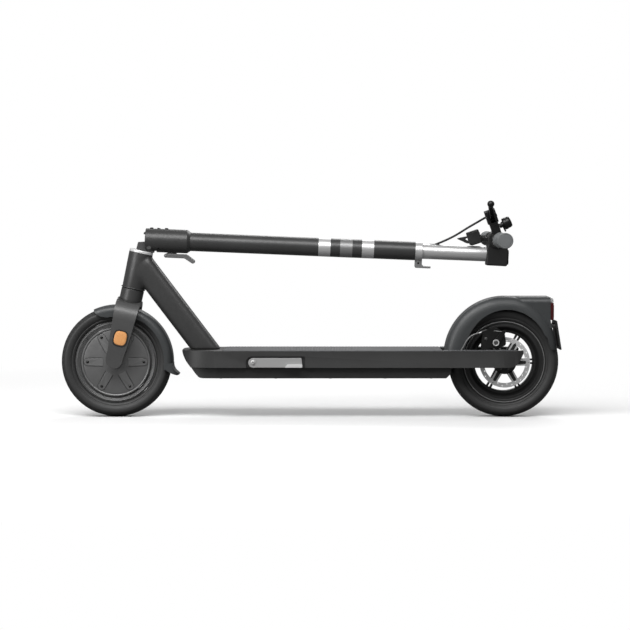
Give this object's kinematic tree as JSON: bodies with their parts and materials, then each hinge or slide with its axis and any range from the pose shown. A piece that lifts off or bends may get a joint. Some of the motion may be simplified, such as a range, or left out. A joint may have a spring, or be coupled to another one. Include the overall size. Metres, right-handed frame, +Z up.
{
  "type": "electric kick scooter",
  "caption": "Folding electric kick scooter with a hub motor in the front wheel, a disc brake at the rear, a folding stem, a side stand and a battery under the deck.",
  "frame": {"origin": "on the floor under the middle of the bounding box, with the scooter standing on its wheels and its stem folded back", "axes": "+Z up, -X forwards, -Y the rider's left, Y = 0 the middle plane of wheels, deck and stem"},
  "size_m": [1.152, 0.52, 0.4973],
  "materials": {
    "black_plastic": "fine moulded texture",
    "gloss_black": "polished black",
    "bare_aluminium": "satin anodised",
    "steel": "zinc plated steel",
    "dark_steel": "grey plated steel",
    "tyre": "matt black rubber with tread",
    "mat_rubber": "ribbed matt rubber",
    "grip_rubber": "soft matt grey",
    "orange_reflector": "prismatic amber",
    "red_lens": "dark red lens",
    "battery_wrap": "shrink wrap",
    "motor_core": "laminated core and windings",
    "fender_plastic": "satin charcoal plastic",
    "frame_alloy": "satin charcoal powder coat on aluminium",
    "black_alloy": "black painted casting",
    "dark_alloy": "dark anodised aluminium"
  },
  "bodies": {
    "frame": {"main_frame": "frame_alloy", "upper_headset_bearing": "steel", "lower_headset_bearing": "steel", "deck_chassis": "frame_alloy", "deck_mat": "mat_rubber", "belly_cover": "black_plastic", "battery_pack": "battery_wrap", "motor_controller": "bare_aluminium", "rear_arm_left": "frame_alloy", "rear_arm_right": "frame_alloy", "rear_fender": "fender_plastic", "tail_light": "red_lens", "reflector_plate": "black_plastic", "charge_port": "black_plastic", "kickstand_bolt": "steel", "rear_axle": "steel", "brake_caliper": "black_alloy", "brake_pad_inner": "dark_steel", "rear_brake_cable": "black_plastic"},
    "steering": {"steerer_tube": "frame_alloy", "headset_collar": "bare_aluminium", "hinge_base": "dark_steel", "fork": "frame_alloy", "reflector_left": "orange_reflector", "reflector_right": "orange_reflector", "front_fender": "fender_plastic", "motor_stator_and_axle": "motor_core"},
    "front_wheel": {"front_tyre": "tyre", "front_hub_shell": "frame_alloy", "front_hub_cover": "frame_alloy"},
    "rear_wheel": {"rear_tyre": "tyre", "rear_rim": "frame_alloy", "brake_disc": "steel", "rear_bearing_left": "steel", "rear_bearing_right": "steel"},
    "stem": {"hinge_sleeve": "frame_alloy", "hinge_pin": "steel", "stem_tube": "frame_alloy", "upper_tube": "bare_aluminium", "bag_hook": "bare_aluminium", "stem_head": "black_plastic", "display_panel": "gloss_black", "handlebar": "dark_alloy", "grip_left": "grip_rubber", "grip_right": "grip_rubber", "headlight": "black_plastic", "throttle_housing": "black_plastic", "brake_perch": "black_alloy", "brake_cable": "black_plastic", "bell": "black_plastic"},
    "latch_lever": {"latch_lever": "dark_steel"},
    "latch_bolt": {"latch_bolt": "dark_steel"},
    "brake_lever": {"brake_lever": "dark_alloy"},
    "throttle_paddle": {"throttle_paddle": "black_plastic"},
    "bell_striker": {"bell_striker": "dark_steel"},
    "power_button": {"power_button": "dark_steel"},
    "charge_port_cap": {"charge_port_cap": "mat_rubber"},
    "kickstand": {"kickstand": "steel"},
    "caliper_arm": {"caliper_arm": "dark_steel"},
    "brake_pad_outer": {"brake_pad_outer": "dark_steel"}
  },
  "joints": [
    {"name": "steering_turn", "type": "hinge", "parent": "frame", "child": "steering", "pos_m": [-0.449, 0, 0.127], "axis": [0.2215, 0, 0.9751], "range_deg": [-50, 50]},
    {"name": "front_wheel_spin", "type": "hinge", "parent": "steering", "child": "front_wheel", "pos_m": [-0.449, 0, 0.127], "axis": [0, 1, 0], "continuous": true},
    {"name": "rear_wheel_spin", "type": "hinge", "parent": "frame", "child": "rear_wheel", "pos_m": [0.445, 0, 0.127], "axis": [0, 1, 0], "continuous": true},
    {"name": "stem_fold", "type": "hinge", "parent": "steering", "child": "stem", "pos_m": [-0.37223, 0, 0.39044], "axis": [0, -1, 0], "range_deg": [0, 79.55]},
    {"name": "latch_lever_pull", "type": "hinge", "parent": "stem", "child": "latch_lever", "pos_m": [-0.33428, 0, 0.37127], "axis": [0, 1, 0], "range_deg": [0, 50], "stiffness_Nm_per_rad": 0.25, "springref_deg": -11.46},
    {"name": "latch_bolt_draw", "type": "slide", "parent": "stem", "child": "latch_bolt", "axis": [0.9992, 0, -0.041], "range_m": [0, 0.0045]},
    {"name": "brake_lever_pull", "type": "hinge", "parent": "stem", "child": "brake_lever", "pos_m": [0.40834, -0.1, 0.46139], "axis": [0.9458, 0, 0.3247], "range_deg": [0, 25], "stiffness_Nm_per_rad": 0.6, "springref_deg": -17.19},
    {"name": "caliper_arm_turn", "type": "hinge", "parent": "frame", "child": "caliper_arm", "pos_m": [0.4233, -0.0568, 0.1731], "axis": [0, -1, 0], "range_deg": [0, 20]},
    {"name": "brake_pad_press", "type": "slide", "parent": "frame", "child": "brake_pad_outer", "axis": [0, 1, 0], "range_m": [0, 0.0003]},
    {"name": "throttle_push", "type": "hinge", "parent": "stem", "child": "throttle_paddle", "pos_m": [0.42648, 0.12, 0.4084], "axis": [0, 1, 0], "range_deg": [0, 25], "stiffness_Nm_per_rad": 0.15, "springref_deg": -11.46},
    {"name": "bell_striker_flick", "type": "hinge", "parent": "stem", "child": "bell_striker", "pos_m": [0.42748, -0.104, 0.44019], "axis": [0.9022, 0, 0.4313], "range_deg": [0, 20], "stiffness_Nm_per_rad": 0.02, "springref_deg": -5.73},
    {"name": "power_button_press", "type": "slide", "parent": "stem", "child": "power_button", "axis": [-0.9992, 0, 0.041], "range_m": [0, 0.0012], "stiffness_N_per_m": 800, "springref_m": -0.0005},
    {"name": "charge_cap_swing", "type": "hinge", "parent": "frame", "child": "charge_port_cap", "pos_m": [-0.186, 0.0866, 0.148], "axis": [1, 0, 0], "range_deg": [0, 110]},
    {"name": "kickstand_swing", "type": "hinge", "parent": "frame", "child": "kickstand", "pos_m": [-0.1315, -0.083, 0.1297], "axis": [0, 1, 0], "range_deg": [0, 98]}
  ],
  "couplings": [
    {"joint": "latch_bolt_draw", "follows": "latch_lever_pull", "m_per_rad": 0.005},
    {"joint": "caliper_arm_turn", "follows": "brake_lever_pull", "ratio": 0.8},
    {"joint": "brake_pad_press", "follows": "brake_lever_pull", "m_per_rad": 0.0006}
  ]
}
